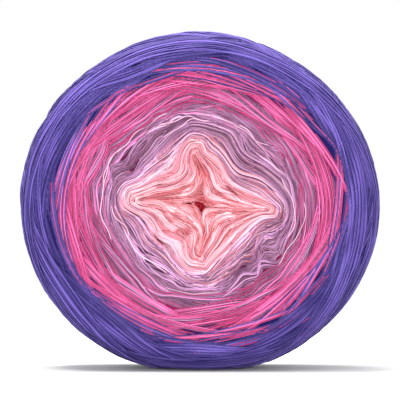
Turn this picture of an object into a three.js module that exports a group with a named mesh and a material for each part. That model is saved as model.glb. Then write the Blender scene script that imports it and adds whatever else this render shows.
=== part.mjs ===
// A wound cake of four-strand gradient yarn, standing on its rim with one end face to the front.
// Sizes are millimetres. +X is to the right of the front face, +Y runs along the cake's axis to
// the back, and +Z is up. The origin is under the middle of the cake, on the surface it stands on.
// The yarn was wound on a square peg, and its four sides have since slumped in to the middle, so
// each end face has a star of four closed slits with four soft folds of yarn between them.
import * as THREE from "three";

// Driving dimensions of the whole cake.
const LENGTH = 82;
const AXIS_HEIGHT = 73.1;
const STAR_OFFSET = { x: 0.5, z: -1.5 };

// The outline seen from the front, measured from the axis. It runs a little below the surface at
// 270 degrees, where the cake's own weight has flattened it.
const OUTLINE = [
  { angle: 0, radius: 77.9 },
  { angle: 30, radius: 75.2 },
  { angle: 60, radius: 72.9 },
  { angle: 90, radius: 73.1 },
  { angle: 120, radius: 73.7 },
  { angle: 150, radius: 76.1 },
  { angle: 180, radius: 78.0 },
  { angle: 210, radius: 77.9 },
  { angle: 240, radius: 76.4 },
  { angle: 270, radius: 74.4 },
  { angle: 300, radius: 76.2 },
  { angle: 330, radius: 77.4 },
];

const MEAN_RADIUS = OUTLINE.reduce((sum, row) => sum + row.radius, 0) / OUTLINE.length;

// The wound layers on an end face, from the hole outwards. depth is the layer's place in the
// winding, tip and fold are its reach along a slit and along a fold as shares of the outline, bow
// is how far it bows in between two slits, and corner how squarely it ends at a slit's tip.
const LAYERS = [
  { name: "hole", depth: 0, tip: 0.31, fold: 0.022, bow: 0.5, corner: 12 },
  { name: "crease", depth: 0.12, tip: 0.35, fold: 0.125, bow: 0.46, corner: 12 },
  { name: "lobe", depth: 0.25, tip: 0.405, fold: 0.235, bow: 0.38, corner: 12 },
  { name: "ring", depth: 0.38, tip: 0.47, fold: 0.36, bow: 0.3, corner: 10 },
  { name: "middle", depth: 0.5, tip: 0.555, fold: 0.525, bow: 0.2, corner: 8 },
  { name: "rim", depth: 1, tip: 1, fold: 1, bow: 0.2, corner: 8 },
];
const STAR_ENDS = { from: 0.3, to: 0.46 };

// The star's four slits and the four folds between them, counted from the right. reach says how
// far each one goes against the layers' mean.
const SPOKES = [
  { name: "right slit", angle: -6, reach: 1.02 },
  { name: "upper right fold", angle: 44, reach: 0.84 },
  { name: "top slit", angle: 94, reach: 0.95 },
  { name: "upper left fold", angle: 134, reach: 1.2 },
  { name: "left slit", angle: 174, reach: 1.02 },
  { name: "lower left fold", angle: 222, reach: 1.2 },
  { name: "bottom slit", angle: 270, reach: 0.88 },
  { name: "lower right fold", angle: 312, reach: 1.0 },
];
const REACH_FADES_AT = 0.5;
const CROWDING_AT_THE_HOLE = 2.1;
const LEAST_SINE = 1e-4;

// How deep the yarn rolls down into each slit at the hole, half way along and at its end, and how
// far the roll reaches to each side.
const SLITS = [
  { spoke: 0, hole: 5, middle: 1.2, end: 4.5, width: 1.7 },
  { spoke: 2, hole: 5, middle: 2.4, end: 5, width: 2.1 },
  { spoke: 4, hole: 5, middle: 2.6, end: 3.6, width: 1.3 },
  { spoke: 6, hole: 5, middle: 1, end: 4.2, width: 1.8 },
];
const SLIT_STAGES = { hole: 0.05, middle: 0.3, rises: 0.5, end: 0.8 };

// The star's own irregular set, as plane waves that shift its points on the face: the direction
// each wave runs in, its length and phase, and the shift it makes in X and Z.
const DRIFT = [
  { angle: 20, length: 31, phase: 0.4, x: 0.5, z: -0.8 },
  { angle: 75, length: 24, phase: 2.1, x: -0.9, z: 0.3 },
  { angle: 130, length: 19, phase: 4.0, x: 0.4, z: 0.6 },
  { angle: 160, length: 27, phase: 5.2, x: -0.3, z: -0.7 },
  { angle: 100, length: 14, phase: 1.3, x: 0.45, z: 0.1 },
  { angle: 5, length: 15, phase: 3.3, x: 0.1, z: 0.45 },
];
const DRIFT_ENDS = { from: 26, to: 44 };

// How an end face is shaped along the axis.
const FACE = { shoulderStart: 0.68, shoulderPower: 2.35, dishRadius: 40 };
const FRONT = { dish: 7, slits: 1, pit: 9 };
const BACK = { dish: 5, slits: 0.7, pit: 7 };

// How finely the surface is divided, and the height of the bundles of yarn that show on it.
const COLUMNS_PER_OCTANT = 12;
const COLUMNS = 8 * COLUMNS_PER_OCTANT;
const ROWS = { pit: 1, frontFace: 24, backFace: 9, rim: 25 };
const BUNDLE = { ridge: 0.7, groove: 1.1, rows: 3, wander: 0.45 };
const CROSSING = { height: 0.55, count: 16, pitch: 20 };
const GOLDEN_ANGLE = 2.39996;

const radians = THREE.MathUtils.degToRad;
const mix = THREE.MathUtils.lerp;
const smoothstep = THREE.MathUtils.smoothstep;

// The value of a table's column at x, as a smooth curve through its rows. span is the period of a
// table that repeats, or 0 for one that stops at its first and last rows.
function along(table, key, column, x, span = 0) {
  const count = table.length;
  let row = 0;
  if (span) {
    x = table[0][key] + THREE.MathUtils.euclideanModulo(x - table[0][key], span);
    while (row < count - 1 && x >= table[row + 1][key]) row++;
  } else {
    x = THREE.MathUtils.clamp(x, table[0][key], table[count - 1][key]);
    while (row < count - 2 && x >= table[row + 1][key]) row++;
  }
  const at = (i) => {
    const turn = span ? Math.floor(i / count) : 0;
    const entry = table[span ? i - turn * count : THREE.MathUtils.clamp(i, 0, count - 1)];
    return { x: entry[key] + turn * span, y: entry[column] };
  };
  const [before, left, right, after] = [at(row - 1), at(row), at(row + 1), at(row + 2)];
  const width = right.x - left.x;
  const slope = (low, high) => (high.y - low.y) / (high.x - low.x);
  const slopeLeft = slope(before.x < left.x ? before : left, right);
  const slopeRight = slope(left, after.x > right.x ? after : right);
  const t = (x - left.x) / width;
  return (
    left.y * (1 + 2 * t) * (1 - t) ** 2 +
    slopeLeft * width * t * (1 - t) ** 2 +
    right.y * t * t * (3 - 2 * t) -
    slopeRight * width * t * t * (1 - t)
  );
}

// The angle of a column, and how far it lies from its slit (0) to its fold (1). Near the hole the
// columns crowd towards the slits, where the yarn turns sharply, and at the rim they are even.
function columnAngle(column, depth) {
  const octant = Math.floor(column / COLUMNS_PER_OCTANT);
  const step = (column % COLUMNS_PER_OCTANT) / COLUMNS_PER_OCTANT;
  const fromSlit = octant % 2 === 0;
  const crowding = mix(CROWDING_AT_THE_HOLE, 1, smoothstep(depth, 0, REACH_FADES_AT));
  const share = fromSlit ? step ** crowding : 1 - (1 - step) ** crowding;
  const start = SPOKES[octant].angle;
  const end = octant === 7 ? SPOKES[0].angle + 360 : SPOKES[octant + 1].angle;
  return { angle: mix(start, end, share), octant, share, toFold: fromSlit ? share : 1 - share };
}

// The radius of a layer at a column. In the star, with t from the slit (0) to the fold (1), it is
// fold * sin(90 t)^-bow, rounded off at the tip. Outside the star it is a soft square.
function layerRadius(depth, place) {
  const fade = 1 - smoothstep(depth, 0, REACH_FADES_AT);
  const first = SPOKES[place.octant];
  const second = SPOKES[(place.octant + 1) % SPOKES.length];
  const slit = place.octant % 2 === 0 ? first : second;
  const fold = place.octant % 2 === 0 ? second : first;
  const tip = along(LAYERS, "depth", "tip", depth) * mix(1, slit.reach, fade);
  const saddle = along(LAYERS, "depth", "fold", depth) * mix(1, fold.reach, fade);
  const bow = along(LAYERS, "depth", "bow", depth);
  const corner = along(LAYERS, "depth", "corner", depth);
  const turn = (Math.PI / 2) * place.toFold;
  const bowed = saddle * Math.max(Math.sin(turn), LEAST_SINE) ** -bow;
  const star = (bowed ** -corner + tip ** -corner) ** (-1 / corner);
  const ring = saddle + (tip - saddle) * Math.cos(turn) ** 2;
  const reach = mix(star, ring, smoothstep(depth, STAR_ENDS.from, STAR_ENDS.to));
  return along(OUTLINE, "angle", "radius", place.angle, 360) * reach;
}

// How far the surface rolls down into the slits. Along a slit the depth goes from its value at
// the hole, through the middle's, to the end's, and across it falls off as exp(-v / width).
function slitDepth(angle, radius) {
  let deepest = 0;
  for (const slit of SLITS) {
    const spoke = SPOKES[slit.spoke];
    const turn = radians(angle - spoke.angle);
    const tip = LAYERS[0].tip * spoke.reach * MEAN_RADIUS;
    const outward = radius * Math.cos(turn);
    const place = outward / tip;
    const inner = mix(slit.hole, slit.middle, smoothstep(place, SLIT_STAGES.hole, SLIT_STAGES.middle));
    const depth = mix(inner, slit.end, smoothstep(place, SLIT_STAGES.rises, SLIT_STAGES.end));
    const beyond = Math.max(outward - tip, 0) + Math.max(-outward, 0);
    const across = Math.hypot(beyond, radius * Math.sin(turn));
    deepest = Math.max(deepest, depth * Math.exp(-across / slit.width));
  }
  return deepest;
}

// How far a layer lies behind the end face's foremost plane: a dish round the star, and the roll
// down into the slits.
function faceDepth(angle, radius, end) {
  const dish = end.dish * (1 - smoothstep(radius, 0, FACE.dishRadius));
  return dish + end.slits * slitDepth(angle, radius);
}

// The shift of the star's points in X and Z: a sum of plane sine waves that fades outwards.
function drift(x, z, radius) {
  const fade = 1 - smoothstep(radius, DRIFT_ENDS.from, DRIFT_ENDS.to);
  const shift = { x: 0, z: 0 };
  for (const wave of DRIFT) {
    const run = x * Math.cos(radians(wave.angle)) + z * Math.sin(radians(wave.angle));
    const height = Math.sin((2 * Math.PI * run) / wave.length + wave.phase) - Math.sin(wave.phase);
    shift.x += wave.x * height * fade;
    shift.z += wave.z * height * fade;
  }
  return shift;
}

// The height of the bundles of yarn on an end face. Each bundle is two raised rows with a groove
// before them, and it swells and fades round the cake.
function bundleHeight(row, angle) {
  const bundle = Math.floor(row / BUNDLE.rows);
  const swell = 0.65 + 0.35 * Math.sin(3 * radians(angle) + bundle * GOLDEN_ANGLE);
  return (row % BUNDLE.rows ? BUNDLE.ridge : -BUNDLE.groove) * swell;
}

// The height of the two sets of bundles that cross on the rim.
function crossingHeight(angle, y) {
  const round = CROSSING.count * radians(angle);
  const over = (2 * Math.PI * y) / CROSSING.pitch;
  return CROSSING.height * (2 * Math.max(Math.cos(round + over), Math.cos(round - over)) - 1);
}

// A point of the surface. Layers are centred on the star, and the rim on the cake's axis.
function surfacePoint(depth, radius, angle, y) {
  const offset = 1 - depth;
  const across = radius * Math.cos(radians(angle));
  const up = radius * Math.sin(radians(angle));
  const shift = drift(across, up, radius);
  const x = STAR_OFFSET.x * offset + across + shift.x;
  const z = AXIS_HEIGHT + STAR_OFFSET.z * offset + up + shift.z;
  return new THREE.Vector3(x, y, Math.max(0, z));
}

// The rows of one end, from the bottom of its pit to its shoulder, each a list of points.
function endRows(end, faceRows, side) {
  const rows = [];
  for (let k = 1; k <= ROWS.pit; k++) {
    const share = k / (ROWS.pit + 1);
    rows.push((column) => {
      const place = columnAngle(column, 0);
      const radius = layerRadius(0, place);
      const down = faceDepth(place.angle, radius, end) + end.pit * (1 - share);
      return surfacePoint(0, radius * share, place.angle, side * (LENGTH / 2 - down));
    });
  }
  for (let k = 0; k < faceRows; k++) {
    rows.push((column) => {
      const even = (FACE.shoulderStart * k) / faceRows;
      const spacing = FACE.shoulderStart / faceRows;
      const place = columnAngle(column, even);
      const bundle = Math.floor(k / BUNDLE.rows);
      const drift = Math.sin((2 + (bundle % 2)) * radians(place.angle) + bundle * GOLDEN_ANGLE);
      const depth = bundle ? even + BUNDLE.wander * spacing * drift : even;
      const radius = layerRadius(depth, place);
      const down = faceDepth(place.angle, radius, end) - (k ? bundleHeight(k, place.angle) : 0);
      return surfacePoint(depth, radius, place.angle, side * (LENGTH / 2 - down));
    });
  }
  return rows;
}

// The rows from one shoulder over the rim to the other, along a rounded profile.
function rimRows() {
  const rows = [];
  const power = 2 / FACE.shoulderPower;
  for (let k = 0; k <= ROWS.rim; k++) {
    rows.push((column) => {
      const turn = Math.PI * (k / ROWS.rim);
      const out = Math.abs(Math.sin(turn)) ** power;
      const axial = -Math.sign(Math.cos(turn)) * Math.abs(Math.cos(turn)) ** power;
      const depth = mix(FACE.shoulderStart, 1, out);
      const place = columnAngle(column, depth);
      const y = (axial * LENGTH) / 2;
      const raised = crossingHeight(place.angle, y) * out;
      return surfacePoint(depth, layerRadius(depth, place) + raised, place.angle, y);
    });
  }
  return rows;
}

// A closed mesh through the rows, with a point in the middle of each end's pit.
function closedSurface(rows, firstPole, lastPole) {
  const positions = [...firstPole.toArray()];
  for (const row of rows) {
    for (let column = 0; column < COLUMNS; column++) positions.push(...row(column).toArray());
  }
  positions.push(...lastPole.toArray());
  const last = positions.length / 3 - 1;
  const vertex = (row, column) => 1 + row * COLUMNS + (column % COLUMNS);
  const index = [];
  for (let column = 0; column < COLUMNS; column++) {
    index.push(0, vertex(0, column), vertex(0, column + 1));
    for (let row = 0; row < rows.length - 1; row++) {
      const [a, b] = [vertex(row, column), vertex(row, column + 1)];
      const [c, d] = [vertex(row + 1, column), vertex(row + 1, column + 1)];
      index.push(a, c, b, b, c, d);
    }
    index.push(last, vertex(rows.length - 1, column + 1), vertex(rows.length - 1, column));
  }
  const geometry = new THREE.BufferGeometry();
  geometry.setAttribute("position", new THREE.Float32BufferAttribute(positions, 3));
  geometry.setIndex(index);
  geometry.computeVertexNormals();
  return geometry;
}

// The bottom of an end's pit, on the star's own middle.
function pitBottom(end, side) {
  const down = end.dish + end.slits * SLITS[0].hole + end.pit;
  const height = AXIS_HEIGHT + STAR_OFFSET.z;
  return new THREE.Vector3(STAR_OFFSET.x, side * (LENGTH / 2 - down), height);
}

function yarnCake() {
  const front = endRows(FRONT, ROWS.frontFace, -1);
  const back = endRows(BACK, ROWS.backFace, 1).reverse();
  const rows = [...front, ...rimRows(), ...back];
  const geometry = closedSurface(rows, pitBottom(FRONT, -1), pitBottom(BACK, 1));
  const yarn = new THREE.MeshStandardMaterial({ color: 0x6a58b0, roughness: 0.85, metalness: 0 });
  const mesh = new THREE.Mesh(geometry, yarn);
  mesh.name = "yarn_cake";
  return mesh;
}

const cake = new THREE.Group();
cake.add(yarnCake());

export default cake;
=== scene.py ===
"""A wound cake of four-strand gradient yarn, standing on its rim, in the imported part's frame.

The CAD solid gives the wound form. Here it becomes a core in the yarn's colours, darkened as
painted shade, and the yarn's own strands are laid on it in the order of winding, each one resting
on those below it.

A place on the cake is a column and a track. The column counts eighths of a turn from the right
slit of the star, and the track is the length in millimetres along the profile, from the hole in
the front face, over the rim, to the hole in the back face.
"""

import math
from collections import namedtuple

import bpy
import numpy as np
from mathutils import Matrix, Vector


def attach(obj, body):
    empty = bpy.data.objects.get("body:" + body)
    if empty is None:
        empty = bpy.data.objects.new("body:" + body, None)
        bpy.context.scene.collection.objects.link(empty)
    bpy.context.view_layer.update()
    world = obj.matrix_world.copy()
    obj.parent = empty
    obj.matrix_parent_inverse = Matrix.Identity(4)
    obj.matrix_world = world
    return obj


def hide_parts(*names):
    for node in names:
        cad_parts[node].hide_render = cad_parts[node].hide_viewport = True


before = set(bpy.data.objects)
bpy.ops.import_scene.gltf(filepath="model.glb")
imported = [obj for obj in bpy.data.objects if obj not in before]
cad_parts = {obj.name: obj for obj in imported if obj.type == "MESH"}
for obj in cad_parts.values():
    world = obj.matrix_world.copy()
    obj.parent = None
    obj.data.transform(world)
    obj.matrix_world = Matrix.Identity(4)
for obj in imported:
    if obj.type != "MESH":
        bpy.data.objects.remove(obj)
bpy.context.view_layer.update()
MM = 0.001


def columns(names, *rows):
    """A table as one array for each named column."""
    return dict(zip(names.split(), np.array(rows, float).T))


# Driving sizes of the form, in millimetres and degrees, as the CAD source has them.
LENGTH = 82.0
AXIS_HEIGHT = 73.1
STAR_OFFSET = (0.5, -1.5)
OUTLINE = columns(
    "angle radius",
    (0, 77.9),
    (30, 75.2),
    (60, 72.9),
    (90, 73.1),
    (120, 73.7),
    (150, 76.1),
    (180, 78.0),
    (210, 77.9),
    (240, 76.4),
    (270, 74.4),
    (300, 76.2),
    (330, 77.4),
)
MEAN_RADIUS = OUTLINE["radius"].mean()

# The layers of an end face from the hole outwards, as shares of the outline: their reach along a
# slit and along a fold, how far they bow in between two slits, and how square their tips are.
LAYERS = columns(
    "depth tip fold bow corner",
    (0.0, 0.31, 0.022, 0.5, 12),
    (0.12, 0.35, 0.125, 0.46, 12),
    (0.25, 0.405, 0.235, 0.38, 12),
    (0.38, 0.47, 0.36, 0.3, 10),
    (0.5, 0.555, 0.525, 0.2, 8),
    (1.0, 1.0, 1.0, 0.2, 8),
)
STAR_ENDS = (0.3, 0.46)

# The star's slits and folds by turns, from the right: their angle, and their reach against the
# layers' mean.
SPOKES = columns(
    "angle reach",
    (-6, 1.02),
    (44, 0.84),
    (94, 0.95),
    (134, 1.2),
    (174, 1.02),
    (222, 1.2),
    (270, 0.88),
    (312, 1.0),
)
REACH_FADES_AT = 0.5
CROWDING = 2.1

# The end faces are flat out to the shoulder's start, and dished within the dish's radius.
SHOULDER_START = 0.68
SHOULDER_POWER = 2.35
FACE = SHOULDER_START * MEAN_RADIUS
DISH_RADIUS = 40.0
DISH = {"front": 7.0, "back": 5.0}

# The creases of the star's slits, in millimetres: how deep the surface rolls down into each one
# at the hole, half way along and at its end, and how far the roll reaches to each side. The depth
# goes over to the middle's and to the end's between two shares of the way out.
SLITS = columns(
    "spoke hole middle end width",
    (0, 5.0, 1.2, 4.5, 1.7),
    (2, 5.0, 2.4, 5.0, 2.1),
    (4, 5.0, 2.6, 3.6, 1.3),
    (6, 5.0, 1.0, 4.2, 1.8),
)
TO_THE_MIDDLE = (0.05, 0.3)
TO_THE_END = (0.5, 0.8)
BACK_SLITS = 0.7

# Gaps and pockets where the winding is loose: their place from the star's middle, half length and
# half width in millimetres, depth, and how far the yarn parts round them.
GAPS = columns(
    "angle radius length width depth parting",
    (149, 33.8, 4.0, 0.6, 1.6, 0.35),
    (221, 31.0, 6.0, 0.6, 1.8, 0.4),
    (349, 35.0, 5.0, 0.6, 1.8, 0.4),
    (216, 22.8, 4.0, 0.9, 2.0, 0.0),
    (143, 10.5, 3.5, 1.2, 3.5, 0.0),
    (236, 14.7, 2.6, 1.8, 2.6, 0.0),
    (30, 13.5, 3.0, 1.2, 3.0, 0.0),
)
GAP_EDGE = 0.35

# The star's own irregular set, as plane waves that shift its points on the face: the direction
# each wave runs in, its length and phase, and the shift it makes in X and Z.
DRIFT = columns(
    "angle length phase x z",
    (20, 31, 0.4, 0.5, -0.8),
    (75, 24, 2.1, -0.9, 0.3),
    (130, 19, 4.0, 0.4, 0.6),
    (160, 27, 5.2, -0.3, -0.7),
    (100, 14, 1.3, 0.45, 0.1),
    (5, 15, 3.3, 0.1, 0.45),
)
DRIFT_ENDS = (26, 44)

# The yarn: four thin strands side by side, not twisted together. A strand is a three-sided tube,
# a little larger at its corners, as its sides are flat.
PLIES = 4
PLY_WIDTH = 0.56
PLY_HEIGHT = 0.44
PLY_PITCH = 0.54
TUBE_HALF_WIDTH = PLY_WIDTH * 0.6
TUBE_HALF_HEIGHT = PLY_HEIGHT * 0.66


def mix(a, b, share):
    return a + (b - a) * share


def smoothstep(x, low, high):
    t = np.clip((x - low) / (high - low), 0, 1)
    return t * t * (3 - 2 * t)


def unit(v):
    return v / np.maximum(np.linalg.norm(v, axis=-1, keepdims=True), 1e-9)


def along(table, key, column, x, period=0.0):
    """A smooth curve through a table's rows: a cubic between each two, with the slope at a row
    taken from the rows on both sides of it."""
    at, value = table[key], table[column]
    if period:
        at = np.concatenate([at[-2:] - period, at, at[:2] + period])
        value = np.concatenate([value[-2:], value, value[:2]])
        x = table[key][0] + (x - table[key][0]) % period
    slope = np.empty_like(value)
    slope[1:-1] = (value[2:] - value[:-2]) / (at[2:] - at[:-2])
    slope[0] = (value[1] - value[0]) / (at[1] - at[0])
    slope[-1] = (value[-1] - value[-2]) / (at[-1] - at[-2])
    i = np.clip(np.searchsorted(at, x, side="right") - 1, 0, len(at) - 2)
    width = at[i + 1] - at[i]
    t = np.clip((x - at[i]) / width, 0, 1)
    return (
        value[i] * (1 + 2 * t) * (1 - t) ** 2
        + slope[i] * width * t * (1 - t) ** 2
        + value[i + 1] * t * t * (3 - 2 * t)
        - slope[i + 1] * width * t * t * (1 - t)
    )


def profile():
    """The cake's profile as a table. share is the distance from the axis against the outline, and
    axial runs from -1 at the front to 1 at the back. Each half is a flat face and a shoulder with
    share = |sin|^(2/power) and axial = |cos|^(2/power)."""
    turn = np.linspace(0, math.pi, 400)
    power = 2 / SHOULDER_POWER
    share = mix(SHOULDER_START, 1, np.sin(turn) ** power)
    axial = -np.sign(np.cos(turn)) * np.abs(np.cos(turn)) ** power
    share[-1] = SHOULDER_START
    steps = np.hypot(np.diff(share) * MEAN_RADIUS, np.diff(axial) * LENGTH / 2)
    track = FACE + np.concatenate([[0], np.cumsum(steps)])
    return {
        "track": np.concatenate([[0], track, [track[-1] + FACE]]),
        "share": np.concatenate([[0], share, [0]]),
        "axial": np.concatenate([[-1], axial, [1]]),
    }


PROFILE = profile()
END = PROFILE["track"][-1]
MIDDLE = END / 2


def spoke_place(column, share):
    """The angle of a column, the reach of the slit and the fold beside it, and how far it lies
    from that slit (0) to that fold (1). Near the hole columns crowd towards the slits."""
    turns = np.floor(column / 8)
    octant = np.floor(column - 8 * turns).astype(int) % 8
    step = np.clip(column - 8 * turns - octant, 0, 1)
    from_slit = octant % 2 == 0
    crowding = mix(CROWDING, 1, smoothstep(share, 0, REACH_FADES_AT))
    moved = np.where(from_slit, step**crowding, 1 - (1 - step) ** crowding)
    after = (octant + 1) % 8
    start = SPOKES["angle"][octant]
    end = SPOKES["angle"][after] + np.where(octant == 7, 360, 0)
    angle = mix(start, end, moved) + 360 * turns
    slit = SPOKES["reach"][np.where(from_slit, octant, after)]
    fold = SPOKES["reach"][np.where(from_slit, after, octant)]
    return angle, slit, fold, np.where(from_slit, moved, 1 - moved)


def column_of(angle):
    """The column at an angle, away from the star."""
    start = SPOKES["angle"][0]
    turns = np.floor((angle - start) / 360)
    angles = np.append(SPOKES["angle"], start + 360)
    return np.interp(angle - 360 * turns, angles, np.arange(9)) + 8 * turns


def layer_radius(share, column):
    """The angle and radius of a layer at a column. In the star, with t from the slit (0) to the
    fold (1), it is fold * sin(90 t)^-bow, rounded off at the tip. Outside it is a soft square."""
    angle, slit, fold, to_fold = spoke_place(column, share)
    fade = 1 - smoothstep(share, 0, REACH_FADES_AT)
    tip = along(LAYERS, "depth", "tip", share) * mix(1, slit, fade)
    saddle = along(LAYERS, "depth", "fold", share) * mix(1, fold, fade)
    bow = along(LAYERS, "depth", "bow", share)
    corner = along(LAYERS, "depth", "corner", share)
    turn = math.pi / 2 * np.clip(to_fold, 0, 1)
    bowed = saddle * np.maximum(np.sin(turn), 1e-4) ** -bow
    star = (bowed**-corner + tip**-corner) ** (-1 / corner)
    ring = saddle + (tip - saddle) * np.cos(turn) ** 2
    reach = mix(star, ring, smoothstep(share, *STAR_ENDS))
    return angle, along(OUTLINE, "angle", "radius", angle, 360) * reach


def slit_dip(angle, radius):
    """How far the surface rolls down into the slits. Along a slit the depth goes from its value at
    the hole, through the middle's, to the end's, and across it falls off as exp(-v / width)."""
    dip = np.zeros_like(radius)
    for spoke, hole, middle, end, width in zip(*SLITS.values()):
        turn = np.radians(angle - SPOKES["angle"][int(spoke)])
        tip = LAYERS["tip"][0] * SPOKES["reach"][int(spoke)] * MEAN_RADIUS
        outward = radius * np.cos(turn)
        place = outward / tip
        depth = mix(hole, middle, smoothstep(place, *TO_THE_MIDDLE))
        depth = mix(depth, end, smoothstep(place, *TO_THE_END))
        beyond = np.maximum(outward - tip, 0) + np.maximum(-outward, 0)
        across = np.hypot(beyond, radius * np.sin(turn))
        dip = np.maximum(dip, depth * np.exp(-across / width))
    return dip


def drift(x, z, radius):
    """The shift of the star's points in X and Z: a sum of plane sine waves that fades outwards."""
    fade = 1 - smoothstep(radius, *DRIFT_ENDS)
    shift_x, shift_z = np.zeros_like(x), np.zeros_like(z)
    for angle, length, phase, size_x, size_z in zip(*DRIFT.values()):
        run = x * math.cos(math.radians(angle)) + z * math.sin(math.radians(angle))
        wave = np.sin(2 * math.pi * run / length + phase) - math.sin(phase)
        shift_x, shift_z = shift_x + size_x * wave, shift_z + size_z * wave
    return shift_x * fade, shift_z * fade


def open_gaps(angle, radius):
    """The radius once the yarn has parted round each gap, and how far the surface dips there.
    Round a gap it moves out on both sides as tanh(v / edge) exp(-|v| - (u / length)^2), where u is
    the distance along the gap and v the distance across it. It dips as a bell in u and v."""
    moved, dip = radius.copy(), np.zeros_like(radius)
    for at, middle, length, width, depth, parting in zip(*GAPS.values()):
        u = np.radians((angle - at + 180) % 360 - 180) * middle
        v = radius - middle
        near = np.exp(-((u / length) ** 2))
        moved += parting * np.tanh(v / GAP_EDGE) * np.exp(-np.abs(v)) * near
        dip += depth * np.exp(-((v / width) ** 2)) * near
    return moved, dip


def hollow(column, track):
    """How deep the creases and gaps are at a place, which sets the painted shade in them."""
    angle, radius = layer_radius(np.interp(track, PROFILE["track"], PROFILE["share"]), column)
    slit = slit_dip(angle, radius)
    return np.where(track < MIDDLE, slit + open_gaps(angle, radius)[1], BACK_SLITS * slit)


def surface(column, track):
    """Points of the wound surface, in millimetres."""
    track = np.clip(track, 0, END)
    share = np.interp(track, PROFILE["track"], PROFILE["share"])
    axial = np.interp(track, PROFILE["track"], PROFILE["axial"])
    angle, radius = layer_radius(share, column)
    front = track < MIDDLE
    dish = np.where(front, DISH["front"], DISH["back"]) * (1 - smoothstep(radius, 0, DISH_RADIUS))
    slit = np.where(front, 1, BACK_SLITS) * slit_dip(angle, radius)
    parted, dip = open_gaps(angle, radius)
    radius = np.where(front, parted, radius)
    y = axial * LENGTH / 2 + np.where(front, 1, -1) * (dish + slit) + np.where(front, dip, 0)
    x, z = radius * np.cos(np.radians(angle)), radius * np.sin(np.radians(angle))
    shift_x, shift_z = drift(x, z, radius)
    x = x + shift_x + STAR_OFFSET[0] * (1 - share)
    z = z + shift_z + STAR_OFFSET[1] * (1 - share) + AXIS_HEIGHT
    return np.stack([x, y, z], -1)


def surface_frame(column, track):
    """Points of the surface, its outward normals, and its rates of change for each column and for
    each millimetre of track."""
    e_column, e_track = 0.02, 0.3
    by_column = (surface(column + e_column, track) - surface(column - e_column, track)) / (2 * e_column)
    low, high = np.clip(track - e_track, 0, END), np.clip(track + e_track, 0, END)
    by_track = (surface(column, high) - surface(column, low)) / (high - low)[..., None]
    normal = unit(np.cross(by_track, by_column))
    return surface(column, track), normal, by_column, by_track


# How far the strands and the core stay above the floor, and the height of the soft knee in which
# they are pressed flat.
STRANDS_OFF_FLOOR = 0.15
CORE_OFF_FLOOR = 0.6
KNEE = 0.8


def rest_on_floor(points, clearance):
    """Presses what would lie below the floor flat against it, in a knee of the form exp(z)."""
    z = points[..., 2]
    low = z < clearance + KNEE
    pressed = clearance + KNEE * np.exp(np.minimum(0, (z - clearance - KNEE) / KNEE))
    return np.concatenate([points[..., :2], np.where(low, pressed, z)[..., None]], -1)


# The pile is the height of the laid yarn above the core, on a grid of columns and tracks. A ply
# bridges gaps in what lies under it over a few of its points to both sides.
GRID_COLUMNS = 8 * 64
PILE_STEP = 0.5
pile = np.zeros((GRID_COLUMNS, int(END / PILE_STEP) + 1))
STIFFNESS = 4


def grid_place(grid, column, track):
    """Where places of the cake lie on a grid, in its cells."""
    return column % 8 / 8 * grid.shape[0], np.clip(track / END, 0, 0.9999) * (grid.shape[1] - 1)


def cells(grid, column, track):
    across, up = grid_place(grid, column, track)
    return np.floor(across).astype(int) % grid.shape[0], np.floor(up).astype(int)


def windowed(values, half, combine, closed):
    """A running maximum or mean along the last axis."""
    padded = np.pad(values, [(0, 0), (half, half)], mode="wrap" if closed else "edge")
    count = values.shape[1]
    return combine(np.stack([padded[:, k : k + count] for k in range(2 * half + 1)]), axis=0)


def lay(column, track, closed=False):
    """Lays plies on the pile, one in each row, and returns the height of their middles. A ply is
    held up by what it crosses, and is too stiff to drop into a narrow gap."""
    i, j = cells(pile, column, track)
    local = pile[i, j]
    under = windowed(local, STIFFNESS, np.max, closed)
    under = windowed(under, STIFFNESS, np.mean, closed)
    under = np.minimum(under, windowed(local, 3 * STIFFNESS, np.mean, closed) + 2 * PLY_HEIGHT)
    for shift in (0, 1):
        np.maximum.at(pile, (i, np.clip(j + shift, 0, pile.shape[1] - 1)), under + PLY_HEIGHT)
    return under + PLY_HEIGHT / 2


# The cells to both sides that the pile is evened out over, and how much more it settles.
EVENED_TRACKS = 5
EVENED_COLUMNS = 4
SETTLES_BY = 0.2


def settled_depth():
    """The height of the laid yarn that comes to lie on the CAD's surface, on the pile's grid: the
    pile evened out over about 8 mm, and a little more."""
    depth = pile.copy()
    for _ in range(2):
        depth = windowed(depth, EVENED_TRACKS, np.mean, False)
        depth = windowed(depth.T, EVENED_COLUMNS, np.mean, True).T
    return depth + SETTLES_BY


def depth_at(depth, column, track):
    """The settled depth at places between the grid's points."""
    across, up = grid_place(depth, column, track)
    i, j = np.floor(across).astype(int), np.floor(up).astype(int)
    s, t = across - i, up - j
    i, after = i % GRID_COLUMNS, (i + 1) % GRID_COLUMNS
    near = mix(depth[i, j], depth[after, j], s)
    return mix(near, mix(depth[i, j + 1], depth[after, j + 1], s), t)


def waves(rng, column, cycles, size):
    """A slow wander round the cake: sines of whole cycles a turn with random phases, each weaker
    than the last."""
    total = np.zeros_like(column)
    for k in cycles:
        total += math.sqrt(cycles[0] / k) * np.sin(2 * math.pi * k * column / 8 + rng.uniform(0, 7))
    return size * total / math.sqrt(len(cycles))


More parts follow.
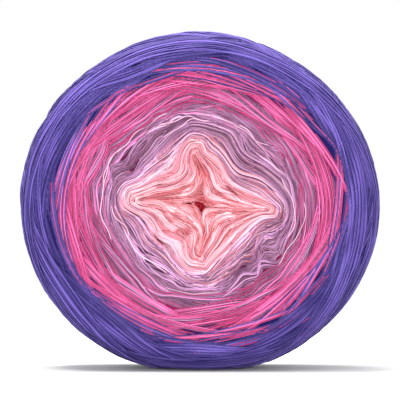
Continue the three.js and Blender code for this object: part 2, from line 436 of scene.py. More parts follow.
class Tubes:
    """Closed tubes with three sides, one edge upwards, gathered for one piece."""

    SIDES = 3
    MOST_POINTS = 70000

    def __init__(self):
        self.points, self.sides, self.caps, self.uvs, self.tints_and_shades = [], [], [], [], []
        self.count = 0

    def add(self, path, normal, tint, closed):
        """A tube along a path, whose width lies on the surface and whose height stands up."""
        n = len(path)
        if closed:
            tangent = unit(np.roll(path, -1, 0) - np.roll(path, 1, 0))
        else:
            tangent = unit(np.gradient(path, axis=0))
        across = unit(np.cross(normal, tangent))
        up = unit(np.cross(tangent, across))
        turn = (np.arange(self.SIDES) / self.SIDES + 0.25) * 2 * math.pi
        wide = TUBE_HALF_WIDTH * np.cos(turn)[None, :, None]
        high = TUBE_HALF_HEIGHT * np.sin(turn)[None, :, None]
        ring = path[:, None] + across[:, None] * wide + up[:, None] * high
        ids = self.count + np.arange(n * self.SIDES).reshape(n, self.SIDES)
        rows = ids if closed else ids[:-1]
        after = np.roll(ids, -1, 0) if closed else ids[1:]
        quads = np.stack([rows, np.roll(rows, -1, 1), np.roll(after, -1, 1), after], -1)
        length = np.concatenate([[0], np.cumsum(np.linalg.norm(np.diff(path, axis=0), axis=1))])
        ends = np.append(length, length[-1] + np.linalg.norm(path[0] - path[-1]))
        start_u, end_u = ends[: len(rows)], ends[1 : len(rows) + 1]
        u = np.stack([start_u, start_u, end_u, end_u], -1)[:, None].repeat(self.SIDES, 1)
        v_low = np.arange(self.SIDES) / self.SIDES
        v_high = v_low + 1 / self.SIDES
        v = np.stack([v_low, v_high, v_high, v_low], -1)[None].repeat(len(rows), 0)
        self.points.append(ring.reshape(-1, 3))
        self.sides.append(quads.reshape(-1, 4))
        self.uvs.append(np.stack([u, v], -1).reshape(-1, 2))
        if not closed:
            self.caps.append(np.stack([ids[0, ::-1], ids[-1]]))
        # The tint holds the ply's random tone together with its painted shade.
        self.tints_and_shades.append(np.repeat(tint, self.SIDES))
        self.count += n * self.SIDES

    def build(self, name, material, slot_name):
        points = rest_on_floor(np.concatenate(self.points), STRANDS_OFF_FLOOR)
        caps = np.concatenate(self.caps) if self.caps else np.zeros((0, 3), int)
        piece = mesh_piece(name, points, (np.concatenate(self.sides), caps), material)
        layer = piece.data.uv_layers.new(name="yarn")
        uvs = np.concatenate(self.uvs + [np.zeros((caps.size, 2))])
        layer.data.foreach_set("uv", uvs.astype(np.float32).ravel())
        # The material reads this as the strand's random tone and painted shade.
        set_attribute(piece, "tint", np.concatenate(self.tints_and_shades))
        return piece


def add_object(name, data):
    item = bpy.data.objects.new(name, data)
    bpy.context.scene.collection.objects.link(item)
    return item


def mesh_piece(name, points, face_arrays, material):
    """A smooth mesh at the origin, from points in millimetres and an array of faces for each
    number of corners, riding on the cake."""
    mesh = bpy.data.meshes.new(name)
    mesh.vertices.add(len(points))
    mesh.vertices.foreach_set("co", (points * MM).astype(np.float32).ravel())
    corners = np.concatenate([faces.ravel() for faces in face_arrays])
    widths = np.concatenate([np.full(len(faces), faces.shape[1]) for faces in face_arrays])
    mesh.loops.add(len(corners))
    mesh.loops.foreach_set("vertex_index", corners.astype(np.int32))
    mesh.polygons.add(len(widths))
    starts = np.cumsum(widths) - widths
    mesh.polygons.foreach_set("loop_start", starts.astype(np.int32))
    mesh.polygons.foreach_set("use_smooth", np.ones(len(widths), bool))
    mesh.update(calc_edges=True)
    mesh.validate()
    mesh.materials.append(material)
    piece = add_object(name, mesh)
    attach(piece, "root")
    return piece


def set_attribute(piece, name, values):
    attribute = piece.data.attributes.new(name, "FLOAT", "POINT")
    attribute.data.foreach_set("value", np.asarray(values, np.float32))


# The colours of the yarn from the outside of the cake in. Blush is a bluish pale pink. Each gives
# way to the next one ply at a time, at four shares of the winding.
COLOUR_NAMES = ("purple", "hot_pink", "lilac", "blush", "pale_pink", "peach_pink")
CHANGES = columns(
    "first second third fourth",
    (0.83, 0.78, 0.73, 0.69),
    (0.68, 0.60, 0.54, 0.48),
    (0.46, 0.37, 0.33, 0.28),
    (0.36, 0.33, 0.29, 0.25),
    (0.20, 0.16, 0.13, 0.10),
)


def ply_colour(share, ply):
    """The colour of one of the four plies at a place in the winding."""
    changes = list(CHANGES.values())[ply]
    return COLOUR_NAMES[int(np.sum(share < changes))]


# A wound ply: its piece, the tint of its colour with its painted shade, its place on the cake and
# its height in the pile.
# across is the step in column and track for a millimetre across it, step the greatest distance
# between two of its points, and closed says that it runs all the way round.
Ply = namedtuple("Ply", "piece tint column track height across step closed")
WOUND = []


def spread_plies(rng, column, track, looseness, closed=False):
    """The columns and tracks of the four plies of a length of yarn, side by side across it, and
    the step in column and track for a millimetre across it."""
    point, normal, by_column, by_track = surface_frame(column, track)
    if closed:
        tangent = unit(np.roll(point, -1, 0) - np.roll(point, 1, 0))
    else:
        tangent = unit(np.gradient(point, axis=0))
    across = np.cross(normal, tangent)
    cc, tt = np.sum(by_column**2, -1), np.sum(by_track**2, -1)
    ct = np.sum(by_column * by_track, -1)
    c, t = np.sum(across * by_column, -1), np.sum(across * by_track, -1)
    area = np.maximum(cc * tt - ct * ct, 1e-6)
    step = np.array([(c * tt - t * ct) / area, (t * cc - c * ct) / area])
    offsets = (np.arange(PLIES) - (PLIES - 1) / 2) * PLY_PITCH
    offsets = np.array([offset + waves(rng, column, (2, 3, 5, 8), looseness) for offset in offsets])
    return column + step[0] * offsets, track + step[1] * offsets, step


# The tracks between which an end face goes over into the outer winding.
FACE_ENDS = (30.0, 55.0)


def on_the_rim(track):
    """0 in the star of an end face, and 1 on the outer winding and the rim."""
    return smoothstep(np.minimum(track, END - track), *FACE_ENDS)


def mirrored(side, track):
    """A track on the front half, or the same place on the back half."""
    return track if side == "front" else END - track


# Painted shade across a ribbon: how much lighter or darker each of its plies is, as the outer ones
# lie lower, and the share of that in the star.
RIBBON_PAINTED_SHADE = (-0.45, 0.2, 0.25, -0.2)
LOOP_SHARE_OF_SHADE = 0.7

# Where the yarn between the star and the rings is crimped: the angle and distance from the hole of
# the middle, how far it reaches in degrees and millimetres, its height and its waves in a turn.
CRIMPS = columns(
    "angle radius around reach height waves",
    (-44.0, 35.0, 20.0, 8.0, 1.2, 15),
    (160.0, 37.0, 18.0, 9.0, 1.3, 13),
    (112.0, 37.0, 14.0, 6.0, 0.8, 17),
    (-115.0, 36.0, 16.0, 7.0, 0.7, 14),
    (20.0, 38.0, 14.0, 6.0, 0.7, 16),
)
CRIMP_SLANT = 15
COLUMN_DEGREES = 45


def crimped(column, track):
    """How far the crimps shift the yarn outwards: each is a sine over the column, whose phase grows
    by a turn in the slant's millimetres of track, and a second of half its height. It fades out as
    a bell curve over column and track."""
    total = np.zeros_like(column)
    for angle, radius, around, reach, height, cycles in zip(*CRIMPS.values()):
        across = (column - column_of(np.array([angle]))[0] + 4) % 8 - 4
        faded = np.exp(-((across / around * COLUMN_DEGREES) ** 2) - ((track - radius) / reach) ** 2)
        turn = 2 * math.pi * (cycles * column / 8 + track / CRIMP_SLANT)
        total += height * faded * (np.sin(turn) + 0.5 * np.sin(1.7 * turn - track / 2))
    return total


# The loops that follow the star, from the hole outwards: the shares of the winding that a row of
# the table starts and ends at, the millimetres between two ribbons, how many layers there are, and
# how far a ribbon wanders and its plies stray.
LOOPS = columns(
    "start end spacing layers wander stray",
    (0.0, 0.06, 0.8, 2, 0.1, 0.03),
    (0.05, 0.25, 1.5, 3, 0.5, 0.12),
    (0.23, 0.36, 1.6, 3, 1.0, 0.35),
    (0.34, 0.50, 1.6, 3, 1.8, 0.7),
    (0.50, 0.72, 1.9, 1, 1.8, 0.4),
)

# A loop's points, the heights of its layers, how far it rises, leans and is crowned, and its tones.
# How far a ply's tint varies from the tone grows on the way out.
LOOP_POINTS = 640
FIRST_LAYER = 0.5
LAYER_HEIGHT = 0.45
LOOP_RISE = 0.3
LOOP_LEAN = 0.28
LOOP_CROWN = 0.09
LOOP_TONES = (0.4, 0.75)
LOOP_VARIETY = (0.27, 0.5)
VARIETY_GROWS = (0.2, 0.4)


def wind_loops(side, rng, most_layers, step):
    """The inner yarn, which follows the star's contours all the way round as closed ribbons of
    four plies. A layer is a set of ribbons from the hole outwards, and lies on the layer before."""
    column = np.arange(0, 8, 8 / LOOP_POINTS)
    for start, end, spacing, layers, wander, stray in zip(*LOOPS.values()):
        for layer in range(min(int(layers), most_layers)):
            for track in np.arange(start * MEAN_RADIUS, end * MEAN_RADIUS, spacing):
                middle = track + rng.uniform(0, spacing)
                wind_loop(side, rng, column, middle, (wander, stray), layer, step)


def wind_loop(side, rng, column, track, looseness, layer, step):
    """One closed ribbon. It wanders, rises and dips, narrows and leans to one side or the other,
    and its plies stray from it a little."""
    wander, stray = looseness
    share = track / MEAN_RADIUS
    middle = track + waves(rng, column, (2, 3, 5, 8, 11), wander) + crimped(column, track)
    middle = np.maximum(middle, 0.3)
    height = FIRST_LAYER + LAYER_HEIGHT * layer + waves(rng, column, (2, 3, 5, 7), LOOP_RISE)
    lean = waves(rng, column, (2, 3, 5), LOOP_LEAN)
    tone = rng.uniform(*LOOP_TONES)
    variety = mix(*LOOP_VARIETY, smoothstep(share, *VARIETY_GROWS))
    plies, tracks, across = spread_plies(rng, column, middle, stray, True)
    for ply in range(PLIES):
        offset = ply - (PLIES - 1) / 2
        ply_height = height + lean * offset - LOOP_CROWN * offset**2
        colour = ply_colour(share + rng.uniform(-0.02, 0.02), (ply + int(track * 3)) % PLIES)
        # Painted shade: the outer plies of a ribbon are darker, the inner ones lighter.
        tint = tone + RIBBON_PAINTED_SHADE[ply] * LOOP_SHARE_OF_SHADE + rng.uniform(-variety, variety)
        ply_track = mirrored(side, np.clip(tracks[ply], 0.02, MIDDLE))
        tint = np.clip(tint, 0, 1)
        place = (f"{side}_{colour}", tint, plies[ply], ply_track, ply_height)
        WOUND.append(Ply(*place, across, step, True))


# The sheets of ribbons on the front face, in the order of winding: how many there are, the shares
# of the winding that they start and end at, how many degrees each reaches to both sides of its
# middle, how far its track rises and tilts in 45 degrees, how far it and its plies stray, and the
# greatest distance between two of a ply's points, in millimetres.
RINGS = columns(
    "sheets start end reach bend tilt wander stray step",
    (11, 0.10, 0.46, 80, 1.0, 2.6, 0.7, 0.15, 2.2),
    (34, 0.45, 0.66, 46, 11.0, 4.4, 0.9, 0.2, 3.2),
    (44, 0.64, 0.86, 46, 15.0, 6.0, 0.6, 0.1, 3.5),
)
BACK_RING = (40, 0.46, 0.86, 46, 9.0, 4.0, 0.5, 0.1, 4.5)

# One sheet lies this many degrees on from the last, so that they never line up. It is shifted a
# little more, as are its ribbons, which overlap by part of a ply. Their ends sink in.
NEXT_SHEET = 137.5
SHEET_SHIFT = 40
RIBBON_SHIFT = 6
OVERLAP = 0.6
REACH_VARIES = (0.75, 1.25)
BEND_VARIES = (0.2, 1.6)
ARC_POINT_SPACING = 0.7
ARC_TONES = (0.3, 0.7)
PLY_VARIETY = 0.5
ENDS_SINK = (0.88, 1.0)


def arc(half, radius, spacing):
    """The angles of an arc's points, from its middle, with the same distance between each two."""
    return np.linspace(-half, half, int(2 * math.radians(half) * radius / spacing))


def wind_ring(side, rng, sheets, start, end, reach, bend, tilts, wander, looseness, step):
    """Sheets of two to five ribbons that lie side by side as arcs. Each comes nearest to the hole
    near its middle: its track rises as the square of the angle, plus a tilt. The ends sink."""
    for k in range(int(sheets)):
        share = mix(start, end, (k + rng.uniform(0, 1)) / sheets)
        middle = NEXT_SHEET * k + rng.uniform(0, SHEET_SHIFT)
        half = reach * rng.uniform(*REACH_VARIES)
        rise = bend * rng.uniform(*BEND_VARIES)
        tilt = tilts * rng.uniform(-1, 1)
        sway = rng.integers(1 << 30)
        tone = rng.uniform(*ARC_TONES)
        for ribbon in range(rng.integers(2, 6)):
            radius = share * MEAN_RADIUS + ribbon * PLY_PITCH * (PLIES - OVERLAP)
            turn = arc(half, radius, ARC_POINT_SPACING)
            column = column_of(middle + rng.uniform(-RIBBON_SHIFT, RIBBON_SHIFT) + turn)
            shared = waves(np.random.default_rng(sway), column, (2, 3, 5), wander)
            own = waves(rng, column, (2, 4, 7), wander * 0.3)
            track = radius + rise * (turn / 45) ** 2 + tilt * turn / 45 + shared + own
            track = track + crimped(column, track)
            wind_ribbon(side, rng, share, tone, column, track, looseness, step)


def wind_ribbon(side, rng, share, tone, column, track, looseness, step):
    """Lays one ribbon of four plies on an end face."""
    plies, tracks, across = spread_plies(rng, column, track, looseness)
    tracks = mirrored(side, np.clip(tracks, 0.2, MIDDLE))
    height = lay(plies, tracks)
    sink = smoothstep(np.abs(np.linspace(-1, 1, height.shape[1])), *ENDS_SINK)
    for ply in range(PLIES):
        piece = f"{side}_{ply_colour(share, ply)}"
        # Painted shade: the outer plies of a ribbon are darker, the inner ones lighter.
        tint = tone + RIBBON_PAINTED_SHADE[ply] + rng.uniform(-PLY_VARIETY, PLY_VARIETY)
        place = (piece, np.clip(tint, 0, 1), plies[ply], tracks[ply], height[ply] * (1 - sink))
        WOUND.append(Ply(*place, across, step, False))


# A loose ply: the degrees that it reaches to both sides and is shifted by, its tints, how far it
# wanders, and the distance between its points before and after thinning.
STRAY_REACH = (12, 34)
STRAY_SHIFT = 60
STRAY_TINTS = (0.35, 0.75)
STRAY_WANDER = 1.6
STRAY_POINT_SPACING = 0.5
STRAY_STEP = 1.5
STRAY_ENDS_SINK = (0.9, 1.0)


def wind_strays(side, rng, count, start, end):
    """Single pale plies that have worked loose and lie in kinks across the winding."""
    for k in range(count):
        radius = MEAN_RADIUS * rng.uniform(start, end)
        half = rng.uniform(*STRAY_REACH)
        turn = arc(half, radius, STRAY_POINT_SPACING)
        column = column_of(NEXT_SHEET * k + rng.uniform(0, STRAY_SHIFT) + turn)
        track = radius + rng.uniform(-2, 6) * (turn / 45) ** 2 + rng.uniform(-3, 3) * turn / 45
        track = mirrored(side, track + waves(rng, column, (4, 8, 13, 20), STRAY_WANDER))
        _, _, across = spread_plies(rng, column, track, 0)
        height = lay(column[None], track[None])[0] + PLY_HEIGHT
        sink = smoothstep(np.abs(turn) / half, *STRAY_ENDS_SINK)
        place = (f"{side}_blush", rng.uniform(*STRAY_TINTS), column, track, mix(height, 0, sink))
        WOUND.append(Ply(*place, across, STRAY_STEP, False))


# How many times a sheet on the rim swings to the front and back in a turn, sheet by sheet. Those
# that do not swing a whole number of times close up after two turns.
SWINGS = (1.0, 1.5, 1.0, 0.5)

# A rim ribbon's points in a turn, the shares of the winding at which the sheets turn round, the
# millimetres between two ribbons, how far a sheet, a ribbon and a ply wander, and their tints.
RIM_POINTS = 600
RIM_TURNS = (0.79, 0.97)
RIM_PITCH = 2.0
SHEET_WANDER = 1.8
RIBBON_WANDER = 0.4
PLY_WANDER = 0.08
RIM_TONES = (0.35, 0.8)
RIBBON_VARIETY = 0.3
RIM_VARIETY = 0.35


def wind_rim(rng, sheets, ribbons, step):
    """Sheets of ribbons as closed loops that turn round on one end face, cross the rim, turn round
    on the other and cross back, with the track as a cosine of the angle."""
    for k in range(sheets):
        swings = SWINGS[k % len(SWINGS)]
        turns = 1 if swings == 1 else 2
        column = np.arange(0, 8 * turns, 8 / RIM_POINTS)
        front = MEAN_RADIUS * rng.uniform(*RIM_TURNS)
        back = END - MEAN_RADIUS * rng.uniform(*RIM_TURNS)
        phase = math.pi * swings * column / 4 + math.radians(NEXT_SHEET * k) + rng.uniform(0, 0.6)
        sway = rng.integers(1 << 30)
        tone = rng.uniform(*RIM_TONES)
        for ribbon in range(ribbons):
            shared = waves(np.random.default_rng(sway), column, (1, 2, 3), SHEET_WANDER)
            own = waves(rng, column, (1, 2, 3, 5), RIBBON_WANDER) + ribbon * RIM_PITCH
            track = mix(front, back, (1 - np.cos(phase)) / 2) + shared + own
            plies, tracks, across = spread_plies(rng, column, track, PLY_WANDER, True)
            height = lay(plies, tracks, True)
            ribbon_tone = tone + rng.uniform(-RIBBON_VARIETY, RIBBON_VARIETY)
            for ply in range(PLIES):
                # Painted shade: the outer plies of a ribbon are darker, the inner ones lighter.
                tint = ribbon_tone + RIBBON_PAINTED_SHADE[ply] + rng.uniform(-RIM_VARIETY, RIM_VARIETY)
                place = ("rim_purple", np.clip(tint, 0, 1), plies[ply], tracks[ply], height[ply])
                WOUND.append(Ply(*place, across, step, True))


SEED = 7
LOOPS_MEAN_HEIGHT = 0.9


def wind_yarn():
    """Winds the cake in order. The star's loops have heights of their own, and the sheets rest on a
    pile of their mean height."""
    rng = np.random.default_rng(SEED)
    wind_loops("front", rng, most_layers=3, step=2.0)
    pile[:] = np.maximum(pile, LOOPS_MEAN_HEIGHT)
    for row in zip(*RINGS.values()):
        wind_ring("front", rng, *row)
    wind_strays("front", rng, count=12, start=0.34, end=0.52)
    wind_loops("back", rng, most_layers=2, step=5.0)
    wind_ring("back", rng, *BACK_RING)
    wind_rim(rng, sheets=28, ribbons=6, step=5.5)


BEND_STEP = 30.0


def thinned(path, normal, shade, step, closed):
    """The path with only the points it needs: as many as its length over step, and one more for
    each time that it has bent by the bend step, in degrees."""
    if closed:
        path, normal, shade = (np.concatenate([v, v[:1]]) for v in (path, normal, shade))
    way = np.diff(path, axis=0)
    length = np.linalg.norm(way, axis=1)
    ahead = way / np.maximum(length, 1e-6)[:, None]
    bend = np.degrees(np.arccos(np.clip(np.sum(ahead[1:] * ahead[:-1], -1), -1, 1)))
    bend = np.concatenate([[0], bend]) * (length > 1e-3)
    worth = np.concatenate([[0], np.cumsum(length / step + bend / BEND_STEP)])
    count = max(4, int(math.ceil(worth[-1])) + 1)
    at = np.interp(np.linspace(0, worth[-1], count), worth, np.arange(len(worth)))
    low = np.minimum(at.astype(int), len(path) - 2)
    share = at - low
    path = mix(path[low], path[low + 1], share[:, None])
    normal = unit(mix(normal[low], normal[low + 1], share[:, None]))
    shade = mix(shade[low], shade[low + 1], share)
    return (path[:-1], normal[:-1], shade[:-1]) if closed else (path, normal, shade)


# The strands stay within the lift of the settled surface, and the core lies under them. On the rim
# both are flatter, and strands that lie deeper under others stay by this factor, so that no light
# passes under them. What lies below the buried height is never in sight.
LIFT = 0.75
CORE_DEPTH = 0.95
FLATTER_RIM = 0.7
MORE_HIDDEN = 2.0
BURIED = -2.2

# The cover is the height of the highest yarn, on a grid. A stretch in sight grows by some points
# at both ends and shrinks by fewer, and is kept if it has more points than the shortest run.
COVER_STEP = 0.25
ACROSS_A_PLY = (-0.26, -0.13, 0, 0.13, 0.26)
SIGHT_GROWS = 6
SIGHT_SHRINKS = 3
SHORTEST_RUN = 9

# The bundles that the yarn is gathered in, as waves of height over the cake: the cycles in a turn,
# the length along the track in millimetres, the phase, and the height in millimetres.
BUNDLES = columns(
    "cycles length phase height",
    (2, 6.5, 0.3, 0.46),
    (-3, 5.2, 1.9, 0.40),
    (5, 8.3, 4.4, 0.34),
    (-1, 3.9, 2.7, 0.30),
    (7, 11.0, 5.6, 0.28),
)
BUNDLES_ON_THE_RIM = 0.3


def bundled(column, track):
    """The height of the bundles, as a sum of plane waves over column and track that is weaker on
    the rim."""
    total = np.zeros_like(track)
    for cycles, length, phase, height in zip(*BUNDLES.values()):
        total += height * np.sin(2 * math.pi * (cycles * column / 8 + track / length) + phase)
    return total * mix(1, BUNDLES_ON_THE_RIM, on_the_rim(track))


def in_sight(depth):
    """For each ply, its height above the settled surface and whether each of its points is in
    sight: not hidden, over its whole width, by yarn that lies higher."""
    cover = np.full((GRID_COLUMNS, int(END / COVER_STEP) + 1), -2 * CORE_DEPTH)
    places = []
    for ply in WOUND:
        above = ply.height - depth_at(depth, ply.column, ply.track) + bundled(ply.column, ply.track)
        steps = np.array(ACROSS_A_PLY)[:, None] * ply.across[:, None]
        places.append((above, cells(cover, ply.column + steps[0], ply.track + steps[1])))
        np.maximum.at(cover, places[-1][1], np.broadcast_to(above, steps[0].shape))
    found = []
    for ply, (above, place) in zip(WOUND, places):
        margin = PLY_HEIGHT * mix(1, MORE_HIDDEN, on_the_rim(ply.track))
        seen = (np.any(cover[place] < above + margin, axis=0) & (above > BURIED))[None]
        seen = windowed(seen, SIGHT_GROWS, np.max, ply.closed)
        seen = windowed(seen, SIGHT_SHRINKS, np.min, ply.closed)[0]
        found.append((LIFT * np.tanh(above / LIFT), seen))
    return found


def runs(seen, closed):
    """The stretches of a ply that are in sight, as lists of indices."""
    order = np.arange(len(seen))
    if closed:
        order = np.roll(order, -int(np.argmin(seen)))
    ends = np.flatnonzero(np.diff(np.concatenate([[0], seen[order].astype(int), [0]])))
    stretches = zip(ends[::2], ends[1::2])
    return [order[start:end] for start, end in stretches if end - start > SHORTEST_RUN]


# A strand's colour takes painted shade: it falls to this share between two heights under the
# surface, and in a crease or gap it falls off as exp(-depth / e), with this e in millimetres.
BURIED_SHADE = 0.15
SHADE_FALLS = (-1.0, 0.3)
DARKER_BY_DEPTH = 2.0


def yarn_tubes(depth):
    """The plies as tubes where they are in sight, gathered by piece. No piece grows past the most
    points that it may have: the next one is begun."""
    gathered = {}
    for ply, (above, seen) in zip(WOUND, in_sight(depth)):
        if not seen.any():
            continue
        point, normal, _, _ = surface_frame(ply.column, ply.track)
        # Painted shade: darker where the strand lies deep under others, and in creases and gaps.
        shade = ply.tint * mix(BURIED_SHADE, 1, smoothstep(above, *SHADE_FALLS))
        shade = shade * np.exp(-hollow(ply.column, ply.track) / DARKER_BY_DEPTH)
        path = point + normal * (above * mix(1, FLATTER_RIM, on_the_rim(ply.track)))[:, None]
        made = gathered.setdefault(ply.piece, [Tubes()])
        if made[-1].count > Tubes.MOST_POINTS:
            made.append(Tubes())
        whole = ply.closed and seen.all()
        for run in [np.arange(len(seen))] if whole else runs(seen, ply.closed):
            made[-1].add(*thinned(path[run], normal[run], shade[run], ply.step, whole), whole)
    return gathered


# The core's grid, and the pit at each end: its rows, its depth and how far it closes.
CORE_COLUMNS = 8 * 27
CORE_ROWS = 160
PIT_ROWS = 3
PIT_DEPTH = 6.0
PIT_CLOSES = 0.7


def pit(ring, inwards):
    """Rows that go on from the hole's edge into the cake and close towards its middle."""
    middle = ring.mean(0)
    rows = []
    for k in range(1, PIT_ROWS + 1):
        share = k / PIT_ROWS
        deeper = np.array([0, inwards * PIT_DEPTH * share, 0])
        rows.append(mix(ring, middle, PIT_CLOSES * share) + deeper)
    return np.array(rows)


def core():
    """The wound form under the strands: a grid over the whole surface, and a pit at each end."""
    count = CORE_COLUMNS
    column = np.arange(count) * 8 / count
    track = np.linspace(0, END, CORE_ROWS)
    grid_column, grid_track = np.meshgrid(column, track)
    point, normal, _, _ = surface_frame(grid_column, grid_track)
    points = point - normal * CORE_DEPTH * mix(1, FLATTER_RIM, on_the_rim(grid_track))[..., None]
    points = np.concatenate([pit(points[0], 1)[::-1], points, pit(points[-1], -1)])
    share = np.interp(track, PROFILE["track"], PROFILE["share"])
    share = np.concatenate([np.zeros(PIT_ROWS), share, np.zeros(PIT_ROWS)])
    points = rest_on_floor(points.reshape(-1, 3), CORE_OFF_FLOOR)
    ids = np.arange(len(points)).reshape(-1, count)
    after = np.roll(ids, -1, 1)
    quads = np.stack([ids[:-1], ids[1:], after[1:], after[:-1]], -1).reshape(-1, 4)
    half = np.arange(0, count // 2 - 1)
    for ring, way in ((ids[0], 1), (ids[-1], -1)):
        cap = np.stack([ring[half], ring[half + 1], ring[count - 2 - half], ring[count - 1 - half]], -1)
        quads = np.concatenate([quads, cap[:, ::way]])
    piece = mesh_piece("wound_core", points, (quads,), core_material())
    set_attribute(piece, "winding", np.repeat(share, count))
    pit_rows = np.zeros(PIT_ROWS)
    set_attribute(piece, "track", np.repeat(np.concatenate([pit_rows, track, pit_rows + END]), count))
    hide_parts("yarn_cake")
    return piece


def principled(name):
    material = bpy.data.materials.new(name)
    material.use_nodes = True
    nodes, links = material.node_tree.nodes, material.node_tree.links
    return material, nodes, links, nodes["Principled BSDF"]


def set_inputs(node, **values):
    """Sets a node's sockets, with _ for a space in their names."""
    for name, value in values.items():
        node.inputs[name.replace("_", " ")].default_value = value


def math_node(nodes, links, operation, *values):
    """A Math node whose inputs are numbers or other nodes' outputs."""
    node = nodes.new("ShaderNodeMath")
    node.operation = operation
    for socket, value in zip(node.inputs, values):
        if isinstance(value, (int, float)):
            socket.default_value = value
        else:
            links.new(value, socket)
    return node.outputs[0]


# Painted shade on each ply: how much lighter it is at its top edge than at its sides, the slope
# and the start of a line over the distance from v 0.5.
PLY_SIDE_SHADE = (2.4, -0.95)

# How much the patches add to a tint, and the tones that get the dark and the light colour.
PATCHES = 0.5
DARK_TONE = 0.25
LIGHT_TONE = 1.25


def yarn_material(name, light, dark):
    """Soft matt yarn: its colour varies from ply to ply and in soft patches, with painted shade where a
    ply lies deep, in a crease or at a ribbon's edge, and painted shade that grows from the top edge of
    a ply (v 0 and 1) to its sides. Its fibres make slanting ridges round it."""
    material, nodes, links, shader = principled(name)
    # The tint attribute is the strand's random tone with painted shade.
    tint = nodes.new("ShaderNodeAttribute")
    tint.attribute_name = "tint"
    patches = nodes.new("ShaderNodeTexNoise")
    set_inputs(patches, Scale=90, Detail=3)
    place = nodes.new("ShaderNodeTexCoord")
    links.new(place.outputs["Object"], patches.inputs["Vector"])
    patch, own = patches.outputs["Fac"], tint.outputs["Fac"]
    both = math_node(nodes, links, "MULTIPLY_ADD", patch, PATCHES, own)
    parts = nodes.new("ShaderNodeSeparateXYZ")
    links.new(place.outputs["UV"], parts.inputs[0])
    from_side = math_node(nodes, links, "SUBTRACT", parts.outputs["Y"], 0.5)
    from_side = math_node(nodes, links, "ABSOLUTE", from_side)
    # Painted shade: a ply is darker at its sides than at its top edge.
    rounded = math_node(nodes, links, "MULTIPLY_ADD", from_side, *PLY_SIDE_SHADE)
    toned = math_node(nodes, links, "ADD", both, rounded)
    ramp = nodes.new("ShaderNodeMapRange")
    links.new(toned, ramp.inputs["Value"])
    set_inputs(ramp, From_Min=DARK_TONE, From_Max=LIGHT_TONE)
    colour = nodes.new("ShaderNodeMix")
    colour.data_type = "RGBA"
    set_inputs(colour, A=(*dark, 1), B=(*light, 1))
    links.new(ramp.outputs["Result"], colour.inputs["Factor"])
    links.new(colour.outputs["Result"], shader.inputs["Base Color"])
    fibres = nodes.new("ShaderNodeTexWave")
    set_inputs(fibres, Scale=1.2, Distortion=2)
    fibres.bands_direction = "DIAGONAL"
    links.new(place.outputs["UV"], fibres.inputs["Vector"])
    bump = nodes.new("ShaderNodeBump")
    set_inputs(bump, Strength=0.3, Distance=0.0001)
    links.new(fibres.outputs["Fac"], bump.inputs["Height"])
    links.new(bump.outputs["Normal"], shader.inputs["Normal"])
    set_inputs(shader, Roughness=0.75, Specular_IOR_Level=0.25)
    set_inputs(shader, Sheen_Weight=0.26, Sheen_Tint=(*np.sqrt(light), 1), Sheen_Roughness=0.45)
    return material


# The light and the dark colour of each length of yarn. The dark one serves darker plies and painted
# shade alike: in creases, between plies, under other strands and on the core.
YARN_COLOURS = {
    "purple": ((0.128, 0.084, 0.355), (0.008, 0.0025, 0.07)),
    "hot_pink": ((0.66, 0.135, 0.36), (0.26, 0.005, 0.068)),
    "lilac": ((0.47, 0.23, 0.43), (0.07, 0.009, 0.045)),
    "blush": ((0.73, 0.44, 0.59), (0.14, 0.035, 0.085)),
    "pale_pink": ((0.72, 0.38, 0.43), (0.29, 0.046, 0.085)),
    "peach_pink": ((0.80, 0.48, 0.53), (0.31, 0.016, 0.028)),
}

# The core's colours by their share of the winding, all painted shade: a dark red in the hole, then
# the dark colour of each yarn in order, as the shade under the strands.
HOLE_SHADE_COLOUR = (0.42, 0.014, 0.032)
CORE_STOPS = (
    (0.08, "peach_pink"),
    (0.2, "pale_pink"),
    (0.3, "lilac"),
    (0.46, "lilac"),
    (0.54, "hot_pink"),
    (0.75, "purple"),
)

# Painted shade in the grooves between the core's strands: a ridge takes the core's colour down to
# 1 - 2 * this share of itself. Noise shifts it by up to 8 mm.
GROOVE_SHADE = 0.2
RIDGE_SHIFT = 8


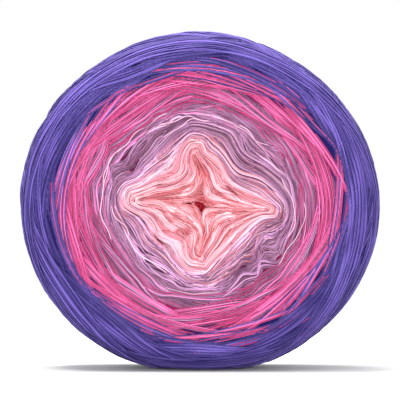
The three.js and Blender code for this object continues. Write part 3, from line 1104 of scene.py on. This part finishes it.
def core_material():
    """The yarn's colours in order from the hole to the rim, darkened as painted shade, with a ridge for
    each strand: a sine of the track, shifted by noise, that bumps the surface and paints shade in its
    grooves."""
    material, nodes, links, shader = principled("wound_core")
    winding = nodes.new("ShaderNodeAttribute")
    winding.attribute_name = "winding"
    ramp = nodes.new("ShaderNodeValToRGB")
    stops = [(0, HOLE_SHADE_COLOUR)] + [(at, YARN_COLOURS[colour][1]) for at, colour in CORE_STOPS]
    for k, (at, colour) in enumerate(stops):
        entry = ramp.color_ramp.elements[k] if k < 2 else ramp.color_ramp.elements.new(at)
        entry.position = at
        entry.color = (*colour, 1)
    links.new(winding.outputs["Fac"], ramp.inputs["Fac"])
    place = nodes.new("ShaderNodeTexCoord")
    shift = nodes.new("ShaderNodeTexNoise")
    set_inputs(shift, Scale=18, Detail=2)
    links.new(place.outputs["Object"], shift.inputs["Vector"])
    track = nodes.new("ShaderNodeAttribute")
    track.attribute_name = "track"
    noise, own = shift.outputs["Fac"], track.outputs["Fac"]
    shifted = math_node(nodes, links, "MULTIPLY_ADD", noise, RIDGE_SHIFT, own)
    phase = math_node(nodes, links, "MULTIPLY", shifted, 2 * math.pi / PLY_PITCH)
    ridge = math_node(nodes, links, "SINE", phase)
    # Painted shade: the colour is darker in the grooves between strands.
    share = math_node(nodes, links, "MULTIPLY_ADD", ridge, GROOVE_SHADE, 1 - GROOVE_SHADE)
    shaded = nodes.new("ShaderNodeMix")
    shaded.data_type = "RGBA"
    shaded.blend_type = "MULTIPLY"
    set_inputs(shaded, Factor=1)
    links.new(ramp.outputs["Color"], shaded.inputs["A"])
    links.new(share, shaded.inputs["B"])
    links.new(shaded.outputs["Result"], shader.inputs["Base Color"])
    bump = nodes.new("ShaderNodeBump")
    set_inputs(bump, Strength=0.4, Distance=0.0003)
    links.new(ridge, bump.inputs["Height"])
    links.new(bump.outputs["Normal"], shader.inputs["Normal"])
    set_inputs(shader, Roughness=0.9, Specular_IOR_Level=0.15)
    return material


def yarn_pieces():
    wind_yarn()
    depth = settled_depth()
    core()
    made = {}
    for colour, (light, dark) in YARN_COLOURS.items():
        made[colour] = yarn_material(f"yarn_{colour}", light, dark)
    for name, tubes in yarn_tubes(depth).items():
        colour = next(c for c in COLOUR_NAMES if name.endswith(c))
        slot_name = "yarn_pale_pink" if colour == "blush" else f"yarn_{colour}"
        for k, part in enumerate(tubes):
            part.build(f"{name}_{k + 1}", made[colour], slot_name)


FLOOR_HALF_SIZE = 0.9
FLOOR_COLOUR = (0.70, 0.70, 0.70, 1)


def floor():
    size = FLOOR_HALF_SIZE
    mesh = bpy.data.meshes.new("floor")
    corners = [(-size, -size, 0), (size, -size, 0), (size, size, 0), (-size, size, 0)]
    mesh.from_pydata(corners, [], [(0, 1, 2, 3)])
    piece = add_object("floor", mesh)
    material, _, _, shader = principled("white_floor")
    set_inputs(shader, Base_Color=FLOOR_COLOUR, Roughness=0.9)
    mesh.materials.append(material)


# The camera in metres and degrees, with the width that it sees and the point that it is aimed at,
# and its sensor in millimetres.
VIEW_DISTANCE = 2.0
VIEW_ELEVATION = 0.6
VIEW_WIDTH = 0.1727
VIEW_AIM = (-0.0001, -LENGTH / 4 * MM, 0.0735)
SENSOR = 36


def camera():
    """The photograph's view: straight at the front face, from a little above."""
    elevation = math.radians(VIEW_ELEVATION)
    data = bpy.data.cameras.new("camera")
    data.sensor_width = SENSOR
    data.lens = SENSOR / 2 / (VIEW_WIDTH / 2 / VIEW_DISTANCE)
    item = add_object("camera", data)
    back = np.array([0, -math.cos(elevation), math.sin(elevation)])
    item.location = np.array(VIEW_AIM) + back * VIEW_DISTANCE
    item.rotation_euler = (math.pi / 2 - elevation, 0, 0)
    bpy.context.scene.camera = item


def area_light(name, place, aim, size, power):
    data = bpy.data.lights.new(name, "AREA")
    data.shape = "RECTANGLE"
    data.size, data.size_y = size
    data.energy = power
    item = add_object(name, data)
    item.location = place
    direction = np.array(aim) - np.array(place)
    item.rotation_euler = Vector(direction).to_track_quat("-Z", "Y").to_euler()


def lights():
    world = bpy.data.worlds.new("studio")
    world.use_nodes = True
    set_inputs(world.node_tree.nodes["Background"], Color=(1, 1, 1, 1), Strength=1.0)
    bpy.context.scene.world = world
    area_light("key", (0.0, -0.6, 1.0), (0, -0.15, 0), (0.9, 0.4), 3.5)
    area_light("top", (-0.13, 0.1, 0.9), (0, 0, 0.1), (0.8, 0.3), 15)
    area_light("fill", (0.0, -1.2, 0.12), (0, 0, 0.04), (1.2, 0.2), 22)


yarn_pieces()
floor()
camera()
lights()
bpy.context.scene.view_settings.view_transform = "Standard"
